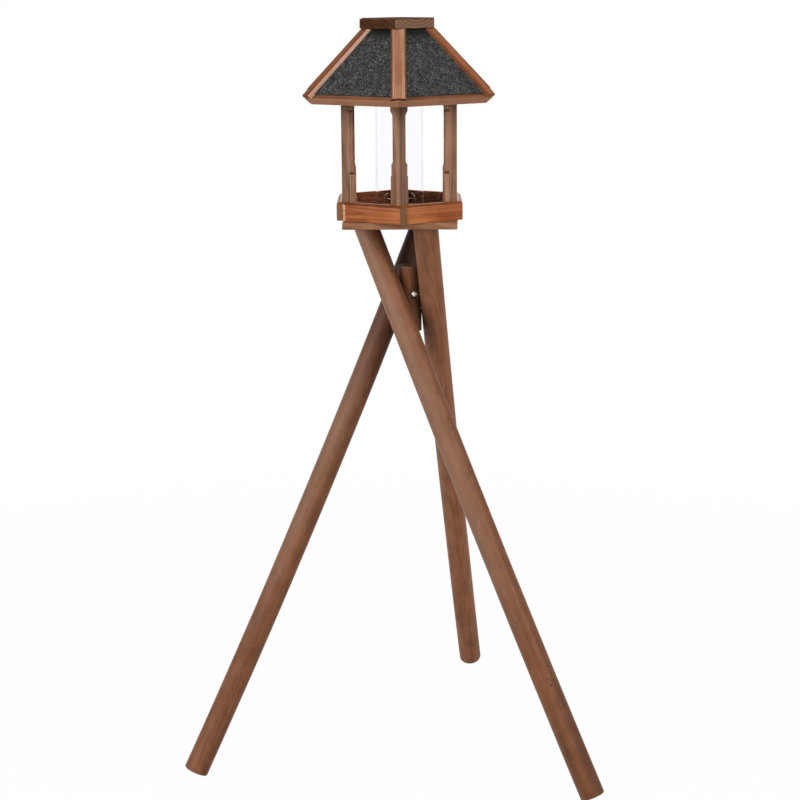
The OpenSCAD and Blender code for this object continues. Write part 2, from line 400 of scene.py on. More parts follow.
@dataclass(frozen=True)
class FeltFinish:
    """Bitumen roofing felt under crushed slate granules, with a painted shadow under the lid's rim.
    """

    rim: float
    painted_shadow_depth: float = 18.0 * MM
    name: str = "mineral_felt"
    bitumen: Triple = (0.010, 0.010, 0.011)
    slate: Triple = (0.064, 0.064, 0.060)
    pale: Triple = (0.124, 0.120, 0.110)
    granule: float = 1.7 * MM

    def material(self) -> Material:
        """Builds the node material, which reads the attribute shade on raised granules.

        Returns:
            The material.
        """
        g = Surface(self.name)
        place = g.place()
        shade = g.attribute("shade")
        away, lot = g.cells(place, 1.0 / self.granule)
        body = self.bitumen
        for value, low, high, colour in (
            (lot, 0.15, 0.80, self.slate),
            (lot, 0.84, 1.0, self.pale),
            (shade, 0.05, 0.30, self.slate),
            (shade, 0.80, 1.0, self.pale),
        ):
            body = g.mix(g.span(value, low, high), body, colour)
        body = g.scaled(body, g.span(g.noise(place, 55.0), 0.3, 0.7, 0.78, 1.22))
        # Painted shadow: the felt darkens towards the lid's rim, down to a fifth of its brightness.
        edge = self.rim - self.painted_shadow_depth, self.rim - 0.3 * self.painted_shadow_depth
        body = g.scaled(body, g.span(g.height(place), *edge, 1.0, 0.2))
        relief = {"Strength": 0.8, "Distance": 0.5 * MM, "Height": g.math("SUBTRACT", 1.0, away)}
        return g.end(
            {
                "Base Color": body,
                "Roughness": 0.86,
                "Normal": g.get("ShaderNodeBump", relief),
                "Specular IOR Level": 0.15,
            }
        )


@dataclass(frozen=True)
class ClearFinish:
    """Clear acrylic with a faint lavender tint."""

    name: str = "clear_plastic"
    tint: Triple = (0.985, 0.980, 1.0)
    ior: float = 1.08
    roughness: float = 0.0
    clarity: float = 1.0

    def material(self) -> Material:
        """Builds the node material.

        Returns:
            The material.
        """
        g = Surface(self.name)
        return g.end(
            {
                "Base Color": self.tint,
                "Roughness": self.roughness,
                "IOR": self.ior,
                "Transmission Weight": self.clarity,
            }
        )


@dataclass(frozen=True)
class SteelFinish:
    """Zinc-plated steel with fine handling marks."""

    name: str = "bright_steel"
    colour: Triple = (0.93, 0.90, 0.89)

    def material(self) -> Material:
        """Builds the node material.

        Returns:
            The material.
        """
        g = Surface(self.name)
        marks = g.noise(g.place(), 900.0)
        dull = tuple(0.85 * part for part in self.colour)
        colour = g.mix(g.span(marks, 0.3, 0.7), dull, self.colour)
        rough = g.span(marks, 0.2, 0.8, 0.38, 0.50)
        return g.end({"Base Color": colour, "Roughness": rough, "Metallic": 1.0})


SAWN_PLASTIC = ClearFinish("sawn_plastic", (0.11, 0.09, 0.08), roughness=0.45, clarity=0.6)
ROOF_PINE = WoodFinish(
    name="roof_pine",
    light=(0.320, 0.140, 0.070),
    dark=(0.160, 0.060, 0.026),
    end=(0.130, 0.058, 0.030),
    rubbed=(0.460, 0.270, 0.185),
    ior=1.2,
)
BATTEN_PINE = WoodFinish(
    name="batten_pine",
    light=(0.510, 0.262, 0.160),
    dark=(0.280, 0.120, 0.064),
    end=(0.100, 0.034, 0.017),
    rubbed=(0.740, 0.460, 0.330),
    ring_share=0.4,
    streak_share=0.8,
    knots=0.0,
)
# The side battens' wood, darker and browner than the front batten's: partly their own colour,
# partly painted light and shade.
SIDE_PINE = replace(
    BATTEN_PINE,
    name="side_batten_pine",
    light=(0.235, 0.083, 0.036),
    dark=(0.135, 0.044, 0.018),
    end=(0.170, 0.070, 0.036),
    rubbed=(0.760, 0.510, 0.400),
    specular=0.01,
)
POST_PINE = WoodFinish(
    name="post_pine",
    light=(0.300, 0.160, 0.100),
    dark=(0.155, 0.074, 0.043),
    end=(0.120, 0.060, 0.036),
    rubbed=(0.360, 0.210, 0.145),
    streak_share=0.8,
    knots=0.1,
)
TRAY_PINE = WoodFinish(
    name="tray_pine",
    light=(0.490, 0.160, 0.058),
    dark=(0.235, 0.068, 0.023),
    end=(0.240, 0.110, 0.052),
    rubbed=(0.700, 0.380, 0.220),
    rubbed_share=0.8,
    knots=0.0,
    polish=0.18,
)
LID_PINE = WoodFinish(
    name="lid_pine",
    light=(0.120, 0.052, 0.025),
    dark=(0.066, 0.027, 0.012),
    end=(0.225, 0.125, 0.080),
    rubbed=(0.260, 0.160, 0.110),
    ring=5.0 * MM,
    knots=0.0,
    ior=1.02,
    polish=0.0,
)
PLATE_PINE = WoodFinish(
    name="plate_pine",
    light=(0.330, 0.160, 0.090),
    dark=(0.175, 0.080, 0.042),
    end=(0.150, 0.075, 0.040),
    rubbed=(0.420, 0.250, 0.170),
    knots=0.1,
)
POLE_PINE = WoodFinish(
    name="pole_pine",
    light=(0.254, 0.100, 0.046),
    dark=(0.121, 0.043, 0.019),
    end=(0.150, 0.072, 0.040),
    rubbed=(0.300, 0.190, 0.136),
    ring_share=0.24,
    streak_share=0.32,
    blotch_share=0.44,
    rubbed_share=0.66,
    knots=0.6,
    dents=0.4,
    scuffs=0.3,
    roughness=0.50,
    specular=0.15,
    polish=0.0,
)


# ---- Meshes ----

WELD = 0.002 * MM
FLAT, CURVED, SHARP = math.radians(0.6), math.radians(18.0), math.radians(32.0)
END_GRAIN = 0.8
LEVEL_TOP = 0.98


@dataclass(frozen=True)
class Grain:
    """A board's own axes, and where in the log it was sawn."""

    origin: Vector
    along: Vector
    across: Vector
    log: Vector

    def local(self, point: Vector) -> Vector:
        """Finds a point's place in the log: along, across and through the board."""
        axes = Matrix((self.along, self.across, self.along.cross(self.across)))
        return axes @ (point - self.origin) + self.log

    @staticmethod
    def place_in_log(key: str) -> Vector:
        """Picks where in its log a piece was sawn.

        Args:
            key: The piece's name, for which the place is always the same.

        Returns:
            The place along the log and from its heart.
        """
        draw = random.Random(key)
        turn = draw.uniform(0.0, 2.0 * math.pi)
        reach = draw.uniform(18.0, 42.0) * MM
        return Vector((draw.uniform(1.0, 9.0), reach * math.cos(turn), reach * math.sin(turn)))


def link(data: Any, name: str) -> Object:
    """Puts something into the scene, at the origin.

    Args:
        data: A mesh, a lamp or a camera.
        name: The object's name.

    Returns:
        The object.
    """
    piece = bpy.data.objects.new(name, data)
    bpy.context.scene.collection.objects.link(piece)
    return piece


def baked(piece: Object) -> Object:
    """Turns a piece's modifiers into plain mesh.

    Args:
        piece: An object with modifiers.

    Returns:
        The same object without them.
    """
    bpy.context.view_layer.update()
    graph = bpy.context.evaluated_depsgraph_get()
    mesh = bpy.data.meshes.new_from_object(
        piece.evaluated_get(graph), preserve_all_data_layers=True, depsgraph=graph
    )
    old = piece.data
    piece.modifiers.clear()
    piece.data = mesh
    bpy.data.meshes.remove(old)
    mesh.name = piece.name
    return piece


def packed_shape(node: str, flatten: bool = True) -> BMesh:
    """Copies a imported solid.

    Args:
        node: The solid's name.
        flatten: Whether its flat faces are made one each.

    Returns:
        The welded copy.
    """
    shape = bmesh.new()
    shape.from_mesh(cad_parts[node].data)
    bmesh.ops.remove_doubles(shape, verts=shape.verts, dist=WELD)
    if flatten:
        bmesh.ops.dissolve_limit(shape, angle_limit=FLAT, verts=shape.verts, edges=shape.edges)
    return shape


def piece_of(shape: BMesh, name: str, *finishes: Material) -> Object:
    """Turns a shape into an object and frees it.

    Args:
        shape: The shape.
        name: The object's name.
        *finishes: Its materials.

    Returns:
        The object, at the origin.
    """
    mesh = bpy.data.meshes.new(name)
    shape.to_mesh(mesh)
    shape.free()
    for finish in finishes:
        mesh.materials.append(finish)
    return link(mesh, name)


@contextmanager
def reshaped(mesh: Mesh) -> Iterator[BMesh]:
    """Opens a mesh as a shape, and writes the changed shape back.

    Args:
        mesh: The mesh.

    Yields:
        Its shape.
    """
    shape = bmesh.new()
    shape.from_mesh(mesh)
    yield shape
    shape.to_mesh(mesh)
    shape.free()


def plane_off(shape: BMesh, point: Vector, normal: Vector, slack: float = 0.0) -> None:
    """Planes a shape off and closes the cut.

    Args:
        shape: The shape.
        point: A point of the plane.
        normal: Its normal, towards what goes.
        slack: How near the plane a corner counts as in it.
    """
    geometry = shape.verts[:] + shape.edges[:] + shape.faces[:]
    planed = bmesh.ops.bisect_plane(
        shape, geom=geometry, dist=slack, plane_co=point, plane_no=normal, clear_outer=True
    )
    edges = [e for e in planed["geom_cut"] if isinstance(e, BMEdge)]
    bmesh.ops.holes_fill(shape, edges=edges)


def crease(shape: BMesh, degrees: float) -> None:
    """Shades smoothly across edges that turn by less than an angle, and sharply at the others."""
    for edge in shape.edges:
        edge.smooth = edge.calc_face_angle(0.0) < math.radians(degrees)


def register(piece: Object, slot: Slot, *nodes: str) -> None:
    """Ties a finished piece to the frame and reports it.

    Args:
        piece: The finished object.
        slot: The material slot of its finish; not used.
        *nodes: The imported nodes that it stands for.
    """
    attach(piece, "root")
    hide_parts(*nodes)
    LOG.info("%s: %d faces, stands for %s", piece.name, len(piece.data.polygons), ", ".join(nodes))


def mark_wood(mesh: Mesh, grain: Grain, eased: Sequence[float], tones: Sequence[float]) -> None:
    """Writes what a wood finish reads: grain, and for each face end, eased, tone and top.

    Args:
        mesh: The finished mesh.
        grain: The board's own axes.
        eased: For each face, how pale it is made by rubbing, painted sheen and painted highlight.
        tones: For each face, how much lighter or darker than its family it is, painted light and
            shade included.
    """
    places = mesh.attributes.new("grain", "FLOAT_VECTOR", "POINT")
    flat = [c for v in mesh.vertices for c in grain.local(v.co)]
    places.data.foreach_set("vector", flat)
    ends = [1.0 if abs(p.normal.dot(grain.along)) > END_GRAIN else 0.0 for p in mesh.polygons]
    tops = [1.0 if p.normal.z > LEVEL_TOP else 0.0 for p in mesh.polygons]
    for name, values in (("end", ends), ("eased", eased), ("tone", tones), ("top", tops)):
        mesh.attributes.new(name, "FLOAT", "FACE").data.foreach_set("value", list(values))


def level(degrees: float) -> Vector:
    """Gives the level direction at an angle from +X."""
    turn = math.radians(degrees)
    return Vector((math.cos(turn), math.sin(turn), 0.0))


def ramp(value: float, low: float, high: float) -> float:
    """Rises from 0 to 1 between two values."""
    return min(1.0, max(0.0, (value - low) / (high - low)))


@dataclass(frozen=True)
class Shade:
    """A value for the faces whose normal, along a direction, lies within two limits."""

    way: Vector
    value: float
    low: float = 0.96
    high: float = 1.01

    def over(self, normal: Vector) -> float:
        """Gives the value for a face that looks along a normal, and nothing for the others."""
        return self.value if self.low <= normal.dot(self.way) <= self.high else 0.0


UPRIGHT_EDGES = Shade(UP, 1.0, -0.3, 0.3)


@dataclass
class Timber:
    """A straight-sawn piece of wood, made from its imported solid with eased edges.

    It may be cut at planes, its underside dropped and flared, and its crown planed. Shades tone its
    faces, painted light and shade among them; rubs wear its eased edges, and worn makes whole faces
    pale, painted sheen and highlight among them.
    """

    node: str
    name: str
    finish: Material
    grain: Grain
    ease: float = 0.9 * MM
    tone: float = 0.0
    cuts: tuple[tuple[Vector, Vector], ...] = ()
    shades: tuple[Shade, ...] = ()
    rubs: tuple[Shade, ...] = (UPRIGHT_EDGES,)
    worn: tuple[Shade, ...] = ()
    drop: Vector = Vector((0.0, 0.0, 0.0))
    flare: Vector = Vector((0.0, 0.0, 0.0))
    crown: Vector = Vector((0.0, 0.0, 0.0))

    def build(self) -> None:
        """Builds the piece and ties it to the frame."""
        shape = packed_shape(self.node)
        for point, normal in self.cuts:
            plane_off(shape, point, normal, slack=0.01 * MM)
        self._move_edges(shape)
        for face in shape.faces:
            face.smooth = any(FLAT < e.calc_face_angle(0.0) < CURVED for e in face.edges)
        piece = piece_of(shape, self.name, self.finish, self.finish)
        bevel = piece.modifiers.new("eased edges", "BEVEL")
        bevel.width = self.ease
        bevel.segments = 2
        bevel.limit_method = "ANGLE"
        bevel.angle_limit = SHARP
        bevel.material = 1
        self._dress(baked(piece))
        register(piece, Slot.PINE, self.node)

    def _move_edges(self, shape: BMesh) -> None:
        """Lets the underside down and planes the topmost edge.

        Args:
            shape: The timber's shape.
        """
        if self.drop.length > 0.0:
            lean = 0.5 * self.drop.length
            under = [face for face in shape.faces if face.normal.dot(self.drop) > lean]
            for vertex in {v for face in under for v in face.verts}:
                side = (vertex.co - self.grain.origin).dot(self.flare)
                vertex.co += self.drop + self.flare * math.copysign(1.0, side)
        if self.crown.length > 0.0:
            highest = max(v.co.dot(-self.crown) for v in shape.verts)
            margin = 0.1 * MM * self.crown.length
            for vertex in shape.verts:
                if highest - vertex.co.dot(-self.crown) < margin:
                    vertex.co += self.crown

    def _dress(self, piece: Object) -> None:
        """Writes how each face of the wood is toned and rubbed, painted light, shade and sheen
        included.

        Args:
            piece: The timber, with its eased edges in the second material.
        """
        mesh = piece.data
        bevels = [p.material_index == 1 for p in mesh.polygons]
        rubs = [self.worn + (self.rubs if bevel else ()) for bevel in bevels]
        eased = [sum(rub.over(p.normal) for rub in own) for own, p in zip(rubs, mesh.polygons)]
        for polygon, bevel in zip(mesh.polygons, bevels):
            polygon.use_smooth = polygon.use_smooth or bevel
            polygon.material_index = 0
        mesh.materials.pop(index=1)
        normals = [p.normal for p in mesh.polygons]
        tones = [self.tone + sum(shade.over(n) for shade in self.shades) for n in normals]
        mark_wood(mesh, self.grain, eased, tones)


# ---- The house ----


@dataclass(frozen=True)
class BattenStainAndShade:
    """How a hip batten is toned: its top's tone, painted light and shade on its sides, painted
    sheen on its right side, and whether it takes the lighter wood.
    """

    top: float = -0.05
    right: float = 0.0
    left: float = -0.1
    worn: float = 0.0
    pale: bool = False


@dataclass
class House:
    """The open house of roof, posts, tray and seed tube, with a side at every 60 degrees.

    One tray board has deeper painted shade inside, and one has a darker, less worn butt facet.
    """

    sides: int = 6
    pitch: float = math.radians(47.0)
    chamfer: float = 4.0 * MM
    felt: float = 2.0 * MM
    planed: float = 1.2 * MM
    splay: float = 1.2 * MM
    butt: float = 1.5 * MM
    painted_shade_board: int = 1
    dark_butt_board: int = 5
    lid_turn: float = -2.0
    lid_log: Vector = Vector((3.0, -45.0 * MM, 4.0 * MM))
    battens: tuple[BattenStainAndShade, ...] = (
        BattenStainAndShade(top=0.05),
        BattenStainAndShade(top=-0.06, right=-0.2, left=0.1),
        BattenStainAndShade(top=0.0, right=0.1),
        BattenStainAndShade(top=-0.04, right=0.16, left=-0.14, worn=0.85),
        BattenStainAndShade(top=-0.03, right=-0.6, left=-0.6, pale=True),
        BattenStainAndShade(top=0.45, right=-0.1, left=-0.5),
    )

    def __post_init__(self) -> None:
        """Reads the house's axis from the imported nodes, and works out the slope of its hips."""
        self.axis = sum(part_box("tray_floor"), Vector()) / 2.0
        self.axis.z = 0.0
        self.hip = math.atan(math.tan(self.pitch) * math.cos(math.pi / self.sides))

    def face(self, i: int) -> Vector:
        """The way that side i looks."""
        return level(360.0 / self.sides * i)

    def corner(self, i: int) -> Vector:
        """The way of the corner between side i - 1 and side i."""
        return level(360.0 / self.sides * (i - 0.5))

    def upwards(self, i: int) -> tuple[Vector, Vector]:
        """The ways out of roof face i and up its slope."""
        sine, cosine = math.sin(self.pitch), math.cos(self.pitch)
        return self.face(i) * sine + UP * cosine, UP * sine - self.face(i) * cosine

    def grain(self, key: str, along: Vector, across: Vector) -> Grain:
        """Gives a piece its grain, measured from its middle."""
        middle, log = sum(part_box(key), Vector()) / 2.0, Grain.place_in_log(key)
        return Grain(middle, along.normalized(), across.normalized(), log)

    def timber(
        self, node: str, name: str, finish: Material, along: Vector, across: Vector, **looks: Any
    ) -> None:
        """Builds a timber with its fibres along a direction and its other fields by name."""
        Timber(node, name, finish, self.grain(node, along, across), **looks).build()

    def build(self) -> None:
        """Builds all pieces of the house."""
        self._roof()
        self._posts_and_tray()
        self._tube()

    def _roof(self) -> None:
        """Builds the lid, the roof boards, the hip battens and the felts."""
        boards, lid = ROOF_PINE.material(), LID_PINE.material()
        pale, brown = BATTEN_PINE.material(), SIDE_PINE.material()
        grain = replace(self.grain("lid", level(self.lid_turn - 60.0), UP), log=self.lid_log)
        shaded = Shade(level(self.lid_turn - 120.0), -0.28)
        Timber("lid", "roof_lid", lid, grain, ease=1.2 * MM, shades=(shaded,)).build()
        draw = random.Random("roof")
        for i, stain in enumerate(self.battens, 1):
            out, slope = self.upwards(i)
            # Painted light: each board's fascia, which faces down and out, is made lighter.
            self.timber(
                f"roof_board_{i}",
                f"roof_face_{i}",
                boards,
                UP.cross(self.face(i)),
                slope,
                ease=0.6 * MM,
                tone=draw.uniform(-0.08, 0.08),
                shades=(Shade(out, -0.22), Shade(-slope, 0.16)),
                rubs=(Shade(UP, 0.5, -2.0, 2.0),),
                worn=(Shade(-slope, 0.6),),
            )
            self._batten(i, stain, pale if stain.pale else brown)
        FeltRoof(self).build()

    def _batten(self, i: int, stain: BattenStainAndShade, finish: Material) -> None:
        """Builds one hip batten, let down onto the boards and planed along its ridge.

        Args:
            i: Its number.
            stain: Its tones, with its painted light, shade and sheen.
            finish: Its material.
        """
        corner = self.corner(i)
        hip = UP * math.sin(self.hip) - corner * math.cos(self.hip)
        side = UP.cross(corner)
        ridge = hip.cross(side).normalized()
        ridge = ridge if ridge.z > 0.0 else -ridge
        # Painted light and shade: the sides' tones, dark enough along the front batten to be a
        # painted contact shadow; the lighter right top facet is a painted highlight, the worn right
        # side a painted sheen, and the pale ridge partly a painted highlight.
        tones = Shade(side, stain.right, 0.6), Shade(-side, stain.left, 0.6)
        self.timber(
            f"rafter_{i}",
            f"hip_batten_{i}",
            finish,
            hip,
            side,
            ease=0.6 * MM,
            tone=stain.top,
            shades=(*tones, Shade(side, 0.22, 0.08, 0.6)),
            rubs=(Shade(ridge, 1.0 if stain.pale else 0.3, 0.985),),
            worn=(Shade(side, stain.worn, 0.6),),
            drop=-ridge * self.felt / math.cos(self.pitch - self.hip),
            flare=side * self.splay,
            crown=-ridge * self.planed,
        )

    def _posts_and_tray(self) -> None:
        """Builds the corner posts, the tray and the plate under it."""
        posts, tray, plate = POST_PINE.material(), TRAY_PINE.material(), PLATE_PINE.material()
        draw = random.Random("tray")
        for i in range(1, self.sides + 1):
            self._post(i, posts, draw.uniform(-0.1, 0.1))
            self._tray_board(i, tray, draw.uniform(-0.04, 0.08))
        # The tray floor's darker tone is painted shade inside the tray.
        self.timber("tray_floor", "tray_bottom", tray, SIDEWAYS, BACK, tone=-0.25)
        self.timber("base_plate", "plate", plate, SIDEWAYS, UP, ease=0.8 * MM, tone=-0.07)

    def _post(self, i: int, finish: Material, tone: float) -> None:
        """Builds one corner post, with painted shade in its notches and painted light and shade on
        its faces.

        Args:
            i: Its number.
            finish: Its material.
            tone: How light it is.
        """
        side = UP.cross(self.corner(i))
        # Painted shade darkens the notch ends; painted light makes the side faces lighter, one
        # outer face darker and the other a little lighter.
        shades = (
            Shade(UP, -0.5, 0.45, 0.97),
            Shade(-UP, -0.4, 0.45, 0.97),
            Shade(side, 0.75),
            Shade(-side, 0.75),
            Shade(self.face(i), -0.24),
            Shade(self.face(i - 1), 0.06),
        )
        self.timber(f"post_{i}", f"corner_post_{i}", finish, UP, side, tone=tone, shades=shades)

    def _tray_board(self, i: int, finish: Material, tone: float) -> None:
        """Builds one tray board with a chamfer over its joint, a butt facet made pale by wear and a
        painted highlight, and painted shade on its chamfers and inner face.

        Args:
            i: Its number.
            finish: Its material.
            tone: How light it is.
        """
        node = f"tray_board_{i}"
        face, after = self.face(i), self.face(i + 1)
        half = (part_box("tray_board_6")[1].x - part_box("tray_board_3")[0].x) / 2.0
        edge = self.axis + after * half + UP * (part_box("tray_board_6")[1].z - self.chamfer)
        butt = level(60.0 * i - 15.0)
        tip = max((v.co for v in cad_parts[node].data.vertices), key=butt.dot)
        # Painted shade: both chamfers are darker, partly as darker stain on the cut, and the inner
        # face is much darker, most on one board. The butt facet's pale wear is partly a painted
        # highlight; one board's butt facet is darker and less worn.
        dark_butt, inner = i == self.dark_butt_board, -0.86 if i == self.painted_shade_board else -0.76
        shades = (
            Shade((face + UP).normalized(), -0.5),
            Shade((after + UP).normalized(), -0.5),
            Shade(-face, inner),
            Shade(butt, -0.4 if dark_butt else 0.0, 0.995),
        )
        self.timber(
            node,
            f"tray_side_{i}",
            finish,
            UP.cross(face),
            UP,
            ease=0.5 * MM,
            tone=tone,
            cuts=((edge, after + UP), (tip - butt * self.butt, butt)),
            shades=shades,
            rubs=(),
            worn=(Shade(butt, 0.3 if dark_butt else 1.3, 0.995),),
        )

    def _tube(self) -> None:
        """Builds the clear seed tube, with duller cut faces."""
        shape = packed_shape("seed_tube", flatten=False)
        for face in shape.faces:
            face.smooth = True
            away = face.calc_center_median() - self.axis
            away.z = 0.0
            face.material_index = int(abs(face.normal.dot(away.normalized())) < 0.6)
        crease(shape, 30.0)
        finishes = ClearFinish().material(), SAWN_PLASTIC.material()
        piece = piece_of(shape, "clear_tube", *finishes)
        piece.visible_shadow = False
        register(piece, Slot.CLEAR, "seed_tube")


@dataclass
class FeltRoof:
    """Six panels of mineral felt, with raised granules scattered by Geometry Nodes."""

    house: House
    cuts: int = 26
    ripple: float = 0.22 * MM
    ripples: float = 45.0
    density: float = 62000.0
    granule: float = 0.55 * MM

    def build(self) -> None:
        """Builds the six panels."""
        finish = FeltFinish(rim=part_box("felt_1")[1].z).material()
        scatter = self._granules()
        sizes = {"Density": self.density, "Granule": self.granule}
        for i in range(1, self.house.sides + 1):
            piece = scatter.run(self._sheet(i, finish), **sizes, Seed=40 + i, Finish=finish)
            register(piece, Slot.FELT, f"felt_{i}")

    def _sheet(self, i: int, finish: Material) -> Object:
        """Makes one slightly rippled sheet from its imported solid.

        Args:
            i: Its number.
            finish: Its material.

        Returns:
            The bare sheet.
        """
        shape = packed_shape(f"felt_{i}")
        long_edges = [e for e in shape.edges if e.calc_length() > 5.0 * MM]
        bmesh.ops.subdivide_edges(shape, edges=long_edges, cuts=self.cuts, use_grid_fill=True)
        normal, _ = self.house.upwards(i)
        for vertex in shape.verts:
            vertex.co += normal * self.ripple * noise.noise(vertex.co * self.ripples)
        for face in shape.faces:
            face.smooth = face.normal.dot(normal) > 0.9
        return piece_of(shape, f"felt_panel_{i}", finish)

    @staticmethod
    def _granules() -> Sculptor:
        """Builds the scatter of granules.

        Returns:
            The tree that lays them on the upper side of a sheet.
        """
        g = Sculptor("felt_granules", {"Density": "Float", "Granule": "Float", "Seed": "Int"})
        upward = g.height(g.get("GeometryNodeInputNormal"))
        points = g.add(
            "GeometryNodeDistributePointsOnFaces",
            {
                "Mesh": g.given["Piece"],
                "Selection": g.math("GREATER_THAN", upward, 0.3),
                "Density": g.given["Density"],
                "Seed": g.given["Seed"],
            },
        )
        grain = {"Radius": g.given["Granule"], "Subdivisions": 1}
        limits = {"Min": (0.6, 0.6, 0.35), "Max": (1.25, 1.1, 0.8), "Seed": 7}
        size = g.add("FunctionNodeRandomValue", limits, data_type="FLOAT_VECTOR")
        placed = g.get(
            "GeometryNodeInstanceOnPoints",
            {
                "Points": points.outputs["Points"],
                "Instance": g.get("GeometryNodeMeshIcoSphere", grain),
                "Rotation": points.outputs["Rotation"],
                "Scale": g.out(size, "Value"),
            },
        )
        limits = {"Min": 0.0, "Max": 1.0, "Seed": 11}
        shade = g.add("FunctionNodeRandomValue", limits, data_type="FLOAT")
        stored = g.get(
            "GeometryNodeStoreNamedAttribute",
            {"Geometry": placed, "Name": "shade", "Value": g.out(shade, "Value")},
            data_type="FLOAT",
            domain="INSTANCE",
        )
        joined = g.add("GeometryNodeJoinGeometry")
        g.feed(joined.inputs[0], g.get("GeometryNodeRealizeInstances", {0: stored}))
        g.feed(joined.inputs[0], g.given["Piece"])
        g.end(joined.outputs[0])
        return g


# ---- The stand ----


@dataclass(frozen=True)
class Leg:
    """A pole of the stand: where it runs, its tone, its painted shade on the right side and at the
    head, how its tone changes at the foot, and how strong the painted sheen on its middle is.
    """

    name: str
    heading: float
    bow: float
    tone: float
    right: float
    head: float
    foot: float
    worn: float

    def way(self, lean: float) -> Vector:
        """The direction down the leg."""
        return level(self.heading) * math.sin(lean) - UP * math.cos(lean)

    def side(self) -> Vector:
        """The level direction from the hub's axis to the leg."""
        ahead = level(self.heading)
        return Vector((ahead.y, -ahead.x, 0.0))


@dataclass
class Stand:
    """Three crossing poles that are bolted round a short hub post.

    Painted shade darkens each pole's head under the plate and fades out downwards round the hub's
    lower end. Towards the foot each pole turns lighter or darker, and a painted sheen makes the
    left side of its middle pale.
    """

    legs: tuple[Leg, ...] = (
        Leg("front", -35.8, 3.8 * MM, tone=0.0, right=-0.28, head=0.0, foot=-0.30, worn=0.9),
        Leg("left", 208.3, 7.0 * MM, tone=-0.10, right=-0.15, head=-0.60, foot=0.02, worn=0.8),
        Leg("back", 78.5, 7.3 * MM, tone=0.18, right=0.0, head=-0.20, foot=-0.08, worn=0.3),
    )
    lean: float = math.radians(26.6)
    radius: float = 20.5 * MM
    touch: float = 0.1 * MM
    foot: float = 3.0 * MM
    unevenness: float = 0.5 * MM
    segments: int = 72
    steps: int = 150
    # Heights round the hub's lower end over which the painted shade at the head fades out
    # downwards.
    stained: tuple[float, float] = (-140.0 * MM, 80.0 * MM)
    foot_tone_height: float = 0.35
    sheen_heights: tuple[float, float] = (0.20, 0.50)
    hub_rim: float = 1.6 * MM
    counterbore: float = 7.5 * MM
    counterbore_depth: float = 6.0 * MM
    bore: float = 3.3 * MM
    bolt: float = 3.0 * MM
    bolt_depth: float = 26.0 * MM
    head: float = 6.8 * MM
    head_height: float = 6.0 * MM
    socket: float = 1.7 * MM

    def __post_init__(self) -> None:
        """Reads the hub's axis and the plate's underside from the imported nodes."""
        low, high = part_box("hub")
        self.hub_low, self.hub_high = low.z, high.z
        self.hub_axis = Vector(((low.x + high.x) / 2.0, (low.y + high.y) / 2.0, 0.0))
        self.hub_radius = (high.x - low.x) / 2.0
        self.plate_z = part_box("base_plate")[0].z

    def build(self) -> None:
        """Builds the poles, the hub and the bolts."""
        finish = POLE_PINE.material()
        sweep = self._sweep()
        for leg in self.legs:
            self._pole(leg, finish, sweep)
        self._hub(finish)
        steel = SteelFinish().material()
        for leg in self.legs:
            self._bolt(leg, steel)

    def bolt_z(self, leg: Leg) -> float:
        """The height of a leg's bolt."""
        low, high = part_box(f"hub_bolt_{leg.name}")
        return (low.z + high.z) / 2.0

    def _pole(self, leg: Leg, finish: Material, sweep: Sculptor) -> None:
        """Sweeps one pole down its slightly bowed line.

        Args:
            leg: Which leg.
            finish: Its material.
            sweep: The tree that sweeps it.
        """
        way, cosine = leg.way(self.lean), math.cos(self.lean)
        beside = leg.side() * (self.hub_radius + self.radius + self.touch)
        middle = self.hub_axis + beside + UP * self.bolt_z(leg)
        inwards = way.cross(UP).cross(way).normalized()
        if inwards.z > 0.0:
            inwards.negate()
        steeper = self.lean + math.atan(4.0 * leg.bow * cosine / middle.z)
        inner = self.radius - self.foot
        above = (self.plate_z - middle.z) / cosine + 2.0 * self.radius
        below = (middle.z - inner * math.sin(steeper) - self.foot) / cosine

        def at(s: float) -> Vector:
            """The middle line, which touches a straight one at the bolt and at the foot."""
            return middle + way * s + inwards * (4.0 * leg.bow / below**2 * s * (below - s))

        last = (at(below) - at(below - 1.0 * MM)).normalized()
        rounding = [self.foot * math.sin(math.pi * k / 16.0) for k in range(1, 9)]
        line = [at(-above + (above + below) * k / self.steps) for k in range(self.steps + 1)]
        line += [at(below) + last * over for over in rounding]
        girth = [self.radius] * (self.steps + 1)
        girth += [inner + math.sqrt(max(0.0, self.foot**2 - over**2)) for over in rounding]
        mesh = bpy.data.meshes.new(f"pole_{leg.name}")
        mesh.from_pydata(line, [(k, k + 1) for k in range(len(line) - 1)], [])
        mesh.attributes.new("girth", "FLOAT", "POINT").data.foreach_set("value", girth)
        mesh.materials.append(finish)
        sizes = {"Segments": self.segments, "Unevenness": self.unevenness}
        piece = sweep.run(link(mesh, mesh.name), **sizes, Way=way, Finish=finish)
        self._level_top(piece.data)
        log = Grain.place_in_log(leg.name)
        grain = Grain(middle, way, leg.side(), Vector((log.x, log.y * 0.55, log.z * 0.55)))
        mark_wood(piece.data, grain, *self._stain(piece.data, leg))
        register(piece, Slot.POLES, f"leg_{leg.name}")

    def _stain(self, mesh: Mesh, leg: Leg) -> tuple[list[float], list[float]]:
        """Works out a pole's tones, with painted shade, and how pale each face is, from painted
        sheen and rubbed ends.

        Args:
            mesh: The pole's mesh.
            leg: Which leg.

        Returns:
            For each face how pale it is, from painted sheen and rubbed ends, and its tone with
            painted shade.
        """
        eased, tones, way = [], [], leg.way(self.lean)
        for p in mesh.polygons:
            height, right = p.center.z, p.normal.x
